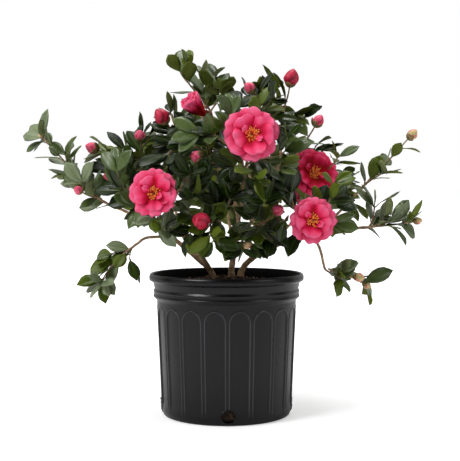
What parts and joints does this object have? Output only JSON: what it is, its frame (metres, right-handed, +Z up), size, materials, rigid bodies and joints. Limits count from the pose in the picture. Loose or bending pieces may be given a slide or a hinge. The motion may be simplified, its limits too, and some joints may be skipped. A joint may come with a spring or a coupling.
{
  "type": "potted camellia shrub",
  "caption": "Bushy flowering camellia with arching leafy shoots, double pink blooms and round buds, growing in a round black nursery pot with arched flutes.",
  "frame": {"origin": "centre of the pot's flat underside", "axes": "+Z up, -Y towards the picture's viewer, +X along the crown's widest reach"},
  "size_m": [0.6142, 0.4395, 0.567],
  "materials": {
    "pot_plastic": "satin moulded black plastic",
    "potting_mix": "loose damp bark mix",
    "bark": "thin matt brown bark",
    "foliage": "glossy dark green leaves with pink blooms"
  },
  "bodies": {
    "root": {"pot": "pot_plastic", "soil": "potting_mix", "stem_left": "bark", "stem_centre": "bark", "stem_right": "bark", "bough_left_low": "bark", "bough_left_up": "bark", "bough_back_left": "bark", "bough_far_left": "bark", "bough_left_droop": "bark", "bough_upper_left": "bark", "bough_centre_left": "bark", "bough_centre_right": "bark", "bough_centre_front": "bark", "bough_front_low": "bark", "bough_back_mid": "bark", "bough_mid_left": "bark", "bough_top_left": "bark", "bough_back_top": "bark", "bough_top_right": "bark", "bough_upper_right": "bark", "bough_low_centre": "bark", "bough_right_mid": "bark", "bough_back_right": "bark", "bough_right_front": "bark", "bough_right_shade": "bark", "bough_right_low": "bark", "bough_right_up": "bark", "mass_centre_bloom": "foliage", "mass_left_bloom": "foliage", "mass_right_bloom": "foliage", "mass_centre_front": "foliage", "mass_low_centre": "foliage", "mass_upper_left": "foliage", "mass_mid_left": "foliage", "mass_top_left": "foliage", "mass_top_right": "foliage", "mass_upper_right": "foliage", "mass_right_shade": "foliage", "mass_far_left": "foliage", "mass_left_droop": "foliage", "mass_far_right_up": "foliage", "mass_far_right_mid": "foliage", "mass_right_droop": "foliage", "mass_back_left": "foliage", "mass_back_mid": "foliage", "mass_back_right": "foliage", "mass_back_top": "foliage"}
  },
  "joints": []
}
